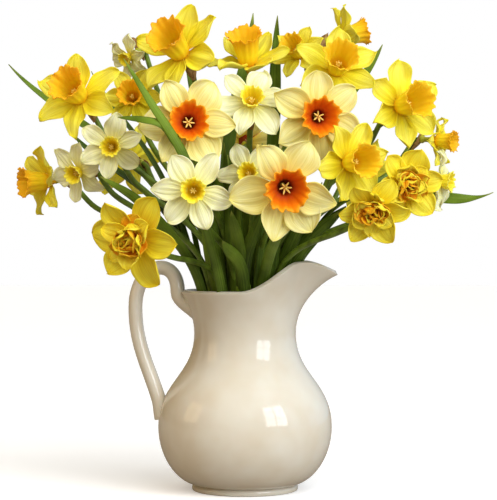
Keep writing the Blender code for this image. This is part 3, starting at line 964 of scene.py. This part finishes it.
def add_stem(name, spot, centre, look, scale, draw):
    corners = stem_line(spot, centre, look)
    line = smooth_line(corners, 5)
    count = len(line)
    radii = [STEM_R - (STEM_R - PEDICEL_R) * smoothstep(0.6, 0.95, i / count) for i in range(count)]
    stem = rod(name + "_stalk", line, radii, 3)
    finish_piece(stem, STEM, [name])
    start = corners[-1]
    end = centre - look * 9 * MM * scale
    swell = [start.lerp(end, t / 12) for t in range(13)]
    shape = [PEDICEL_R, 3.0 * MM, 3.9 * MM, OVARY_R, 4.0 * MM, 3.2 * MM, 2.7 * MM, 2.6 * MM, 2.6 * MM,
             2.7 * MM, 2.8 * MM, 3.0 * MM, 3.3 * MM]
    tube = rod(name.replace("stem", "flower") + "_tube", swell, shape, 3)
    finish_piece(tube, TUBE)
    spathe = petal(name + "_spathe", 26 * MM, 5 * MM, -0.1, 0.5, 1.0, 0.2, 1.2 * MM,
                   draw.uniform(-0.6, 0.6), 0.4, 0.9, 1 * MM, 0, draw.random())
    thicken(spathe, 0.3 * MM)
    along = (corners[-1] - corners[-3]).normalized()
    frame_turn = along.to_track_quat("X", "Z").to_matrix().to_4x4()
    spin = Matrix.Rotation(draw.uniform(-0.8, 0.8), 4, "X")
    clasp = Matrix.Translation((0, 0, -4 * MM))
    spathe.data.transform(Matrix.Translation(corners[-3]) @ frame_turn @ spin @ clasp)
    finish_piece(spathe, SPATHE)


# %% Put all flowers in their places
tally = {}
for (kind, size, centre, (turn, tilt), roll), spot in zip(FLOWERS, neck_places()):
    tally[kind] = tally.get(kind, 0) + 1
    draw = random.Random(f"{kind}{tally[kind]}")
    look = facing(turn, tilt)
    middle = Vector(centre) * MM
    add_flower(f"{kind}_flower_{tally[kind]}", kind, size, middle, look, roll, draw)
    add_stem(f"{kind}_stem_{tally[kind]}", spot, middle, look, size * MM / FULL_SIZE, draw)
print("flowers:", tally)

# %% [markdown]
# ## Leaves
# The leaves rise in tufts: flat stalks of wrapped bases that open into long straps. A strap is a grid bent
# along a curve, with a shallow channel along its middle. The frame gives the tufts and their outer
# blades. More blades fill the space between the stems, as in any bunch picked with its leaves.

# %% Leaf blades
TUFTS = [
    (9, [((235, 5, 281), 13, 0.75), ((172, 25, 388), 12, 0.7)]),
    (68, [((134, 60, 426), 12, 0.6), ((32, 95, 458), 13, 0.6), ((70, 150, 380), 13, 0.5)]),
    (112, [((8, 90, 460), 13, 0.6), ((-60, 100, 430), 12, 0.6), ((-60, 165, 370), 13, 0.5)]),
    (157, [((-228, 40, 405), 12, 0.5), ((-170, 80, 340), 13, 0.5), ((-150, 60, 400), 12, 0.6)]),
    (-92, [((-12, -96, 262), 11, 0.6), ((15, -78, 262), 11, 0.6), ((-20, -92, 236), 11, 0.6)]),
]
STALK_LEAN = 1.15
STALK_TOP = RIM_Z + 8 * MM
STALK_REACH = NECK_R - WALL - NECK_GAP - STALK_THICK / 2
bpy.ops.object.select_all(action="DESELECT")
LEAF_ROWS = 48
bpy.ops.mesh.primitive_grid_add(x_subdivisions=8, y_subdivisions=LEAF_ROWS, size=1)
LEAF_BLANK = bpy.context.object
LEAF_BLANK.name = "leaf_blank"


def strap_along(name, line, width, outward, twist):
    """A strap along the points, channelled across, with its face turned outward."""
    obj = copy_of(LEAF_BLANK, name)
    flat = read_points(obj)
    across = flat[:, 0] * 2
    rows = np.rint((flat[:, 1] + 0.5) * LEAF_ROWS).astype(int)
    points = np.empty_like(flat)
    last = len(line) - 1
    for row in range(LEAF_ROWS + 1):
        t = row / LEAF_ROWS
        step = t * last
        before = min(int(step), last - 1)
        here = line[before].lerp(line[before + 1], step - before)
        forward = (line[before + 1] - line[before]).normalized()
        side = forward.cross(outward).normalized()
        turned = Matrix.Rotation(twist * t, 3, forward)
        front = turned @ side.cross(forward).normalized()
        side = turned @ side
        half = width * MM / 2 * max(0.02, 1 - max(0, (t - 0.5) / 0.5) ** 2.6) ** 0.8
        chosen = rows == row
        offset = across[chosen]
        channel = (offset**2 - 0.4) * half * 0.4 * (1 - 0.5 * t)
        points[chosen] = np.array(here) + np.outer(offset * half, side) - np.outer(channel, front)
    write_points(obj, points)
    thicken(obj, 0.7 * MM)
    return obj


def blade(name, base, tip, width, climb, outward, twist):
    """A strap that climbs from its base and leans over to its tip."""
    length = (tip - base).length
    lead = Vector((0, 0, 1)) + outward * 0.25
    line = bezier(base, base + lead * length * climb, tip - (tip - base) * 0.3, tip, LEAF_ROWS)
    return strap_along(name, line, width, outward, twist)


def stalk(name, angle):
    """The wrapped leaf bases of one tuft: a flat rod from the jug's floor to just over the rim."""
    outward = Vector((math.cos(angle), math.sin(angle), 0))
    levels = [outward * STALK_REACH * FLOOR_SHARE + Vector((0, 0, STEM_FOOT)),
              outward * STALK_REACH + Vector((0, 0, NECK_Z)),
              outward * STALK_REACH * STALK_LEAN + Vector((0, 0, STALK_TOP))]
    obj = rod(name, smooth_line(levels, 10), [STALK_WIDTH / 2] * 21, 5)
    points = read_points(obj)
    direction = np.array(outward)
    centre_out = np.interp(points[:, 2], [p.z for p in levels], [p.dot(outward) for p in levels])
    from_centre = points @ direction - centre_out
    points -= np.outer(from_centre * (1 - STALK_THICK / STALK_WIDTH), direction)
    write_points(obj, points)
    return obj


for number, (angle, blades) in enumerate(TUFTS, 1):
    angle = math.radians(angle)
    outward = Vector((math.cos(angle), math.sin(angle), 0))
    side = Vector((-outward.y, outward.x, 0))
    draw = random.Random(f"tuft{number}")
    name = f"leaf_tuft_{number}"
    finish_piece(stalk(name + "_stalk", angle), LIGHT_LEAF, [name])
    for i, (tip, width, climb) in enumerate(blades):
        shift = (i - (len(blades) - 1) / 2) / len(blades)
        base = outward * STALK_REACH * STALK_LEAN + side * shift * 3 * MM + outward * shift * 2 * MM
        base.z = STALK_TOP - 10 * MM
        twist = draw.uniform(-0.5, 0.5)
        leaf = blade(f"{name}_blade_{i + 1}", base, Vector(tip) * MM, width, climb, outward, twist)
        finish_piece(leaf, LEAF if i % 2 else LIGHT_LEAF)

# %% Filling leaves between the stems
draw = random.Random("filling leaves")
FILLING_LEAVES = 84
GOLDEN_ANGLE = math.radians(137.5)  # from each leaf to the next, so that no two line up
for i in range(FILLING_LEAVES):
    angle = i * GOLDEN_ANGLE + 0.4
    if i % 4 == 3:
        angle = math.radians(-75 + 8.5 * (i // 4))  # these fill the side of the lip
    outward = Vector((math.cos(angle), math.sin(angle), 0))
    inner = (6 + 20 * ((i * 7) % FILLING_LEAVES) / FILLING_LEAVES) * MM
    base = outward * inner + Vector((0, 0, NECK_Z - 30 * MM))
    spread_out = inner * draw.uniform(1.8, 2.6) + draw.uniform(0, 18) * MM
    tip = outward * spread_out + Vector((0, 0, draw.uniform(240, 330) * MM))
    width = draw.uniform(7, 12)
    twist = draw.uniform(-0.9, 0.9)
    leaf = blade(f"filling_leaf_{i + 1}", base, tip, width, 0.45, outward, twist)
    finish_piece(leaf, LEAF if i % 4 else LIGHT_LEAF)

# %% [markdown]
# One long leaf crosses the front of the bunch and lies over the flower behind it, with a short broken
# leaf beside it and two more that lean out to the sides. Five others stand in the mouth beside the lip.
# They take the same strap, bent along points of their own.

# %% Leaves that cross the front
# name, width, outward, points from the base to the tip, in mm
CROSSING = [
    ("crossing_leaf_1", 9, (0.2, -1, 0), [
        (-16, -34, 150), (-24, -60, 205), (-38, -108, 262), (-54, -121, 312), (-82, -122, 357),
        (-107, -114, 397)]),
    ("crossing_leaf_2", 8, (0, -1, 0.6), [
        (-60, -112, 322), (-72, -122, 338), (-90, -123, 343), (-112, -118, 345)]),
    ("crossing_leaf_3", 10, (0, -1, 0), [
        (8, -32, 150), (18, -52, 205), (27, -98, 236), (39, -128, 252)]),
    ("crossing_leaf_4", 9, (-0.4, -1, 0), [
        (-30, -20, 150), (-50, -42, 215), (-92, -70, 268), (-131, -68, 294)]),
]
for name, width, outward, stops in CROSSING:
    line = smooth_line([Vector(stop) * MM for stop in stops], 12)
    leaf = strap_along(name, line, width, Vector(outward).normalized(), 0.3)
    finish_piece(leaf, LIGHT_LEAF)

# %% Leaves that fill the side of the lip
# width, points from the base to the tip, in mm
BESIDE_LIP = [
    (14, [(27, -12, 150), (38, -18, 205), (58, -34, 236), (86, -52, 262)]),
    (13, [(29, 0, 150), (40, -4, 208), (54, -10, 248), (72, -20, 290)]),
    (14, [(30, 8, 150), (44, 12, 208), (66, 14, 240), (96, 12, 268)]),
    (12, [(27, 14, 150), (36, 20, 208), (46, 24, 260), (58, 22, 320)]),
    (12, [(24, -18, 150), (33, -26, 205), (46, -40, 240), (66, -58, 276)]),
]
for number, (width, stops) in enumerate(BESIDE_LIP, 1):
    line = smooth_line([Vector(stop) * MM for stop in stops], 12)
    leaf = strap_along(f"lip_leaf_{number}", line, width, Vector((-0.2, -1, 0)).normalized(), 0.2)
    finish_piece(leaf, LEAF)

for blank in [PETAL_BLANK, LEAF_BLANK, ANTHER_BLANK, *CORONA_BLANKS.values()]:
    bpy.data.objects.remove(blank)

# %% [markdown]
# ## The studio
# A white floor that glows a little, a white backdrop and soft light. A large cool window stands to the
# front right and a dimmer warm one to the left, in front of a warm wall, so the white jug shows its
# roundness. The windows' panes give the glaze something to mirror. A very wide sun, like an overcast sky,
# lights the bunch from above the front right, and a small lamp at the front left fills the flowers. The
# glaze mirrors neither of those two. The Light Path node shows the camera a plain white floor and
# backdrop, while the object is lit by darker, warmer ones.

# %% Floor and world
bpy.ops.object.select_all(action="DESELECT")
bpy.ops.mesh.primitive_plane_add(size=12)
floor = bpy.context.object
floor.name = "floor"
floor_material, tree, shader = new_material(
    "lit white studio floor", Roughness=0.8, Specular_IOR_Level=0.1)
seen = add(tree, "ShaderNodeLightPath").outputs["Is Camera Ray"]
glow = mix(tree, "MIX", seen, linear("4C463C"), linear("969696"))
tree.links.new(glow, shader.inputs["Emission Color"])
shader.inputs["Emission Strength"].default_value = 1.0
tint = ramp(tree, blotches(tree, 400 * MM), (0.0, "FAFAFA"), (1.0, "F6F6F6"))
pale = mix(tree, "MIX", seen, linear("9A9084"), tint)
tree.links.new(pale, shader.inputs["Base Color"])
floor.data.materials.append(floor_material)

world = bpy.data.worlds.new("studio")
world.use_nodes = True
bpy.context.scene.world = world
tree = world.node_tree
background = tree.nodes["Background"]
direction = add(tree, "ShaderNodeTexCoord").outputs["Generated"]
sideways = add(tree, "ShaderNodeSeparateXYZ", Vector=direction).outputs["X"]
share = add(tree, "ShaderNodeMapRange", Value=sideways, _1=-1.0, _2=1.0).outputs[0]
walls = ramp(tree, share, (0.0, "75531F"), (0.35, "8E7C58"), (0.6, "AAACAC"), (1.0, "C0D0E0"))
seen = add(tree, "ShaderNodeLightPath").outputs["Is Camera Ray"]
tree.links.new(mix(tree, "MIX", seen, walls, (1, 1, 1, 1)), background.inputs["Color"])
background.inputs["Strength"].default_value = 1.0

# %% Lights


def area_light(name, place, target, size, power, colour):
    data = bpy.data.lights.new(name, "AREA")
    data.shape = "RECTANGLE"
    data.size, data.size_y = size
    data.energy = power
    data.color = linear(colour)[:3]
    light = bpy.data.objects.new(name, data)
    bpy.context.scene.collection.objects.link(light)
    light.location = place
    aim = Vector(target) - Vector(place)
    light.rotation_euler = aim.to_track_quat("-Z", "Y").to_euler()
    return light


def window(name, turn, tilt, away, width, height, columns, rows, power, colour):
    """Panes of light with bars between them. Turn and tilt say where it stands, seen from the jug."""
    middle = facing(turn, tilt) * away + Vector((0, 0, 0.12))
    across = Vector((0, 0, 1)).cross(facing(turn, 0)).normalized()
    for column in range(columns):
        for row in range(rows):
            place = middle + across * ((column + 0.5) / columns - 0.5) * width
            place.z += ((row + 0.5) / rows - 0.5) * height
            target = place - facing(turn, tilt * 0.3)
            pane = (width / columns * 0.88, height / rows * 0.9)
            area_light(name, place, target, pane, power / columns / rows, colour)


window("window right", 42, 22, 1.9, 1.0, 1.2, 2, 3, 14, "F2F7FF")
window("window left", -77, 20, 1.9, 0.8, 1.0, 2, 2, 3, "FFDDA8")
area_light("fill for the flowers", (-0.8, -1.0, 1.2), (-0.08, 0, 0.4), (0.8, 0.8), 7, "FFFBF0")
bpy.data.objects["fill for the flowers"].visible_glossy = False
sky = bpy.data.lights.new("overcast sky", "SUN")
sky.energy = 2.0
sky.angle = math.radians(60)
sky_light = bpy.data.objects.new("overcast sky", sky)
bpy.context.scene.collection.objects.link(sky_light)
sky_light.rotation_euler = (math.radians(48), 0, math.radians(32))
sky_light.visible_glossy = False

# %% [markdown]
# ## The camera
# It stands level with the flowers, 1.77 m in front, with a long lens, so the jug's rim is seen nearly
# edge-on and its foot from slightly above.

# %% Camera
EYE = Vector((0.0033, -1.77, 0.25))
AIM = Vector((0.0033, 0, 0.2265))
camera = bpy.data.objects.new("camera", bpy.data.cameras.new("camera"))
bpy.context.scene.collection.objects.link(camera)
camera.location = EYE
camera.rotation_euler = (AIM - EYE).to_track_quat("-Z", "Y").to_euler()
camera.data.sensor_width = 36
camera.data.lens = 135
bpy.context.scene.camera = camera
bpy.context.scene.view_settings.view_transform = "Standard"

# %% Finish
bpy.ops.object.select_all(action="DESELECT")
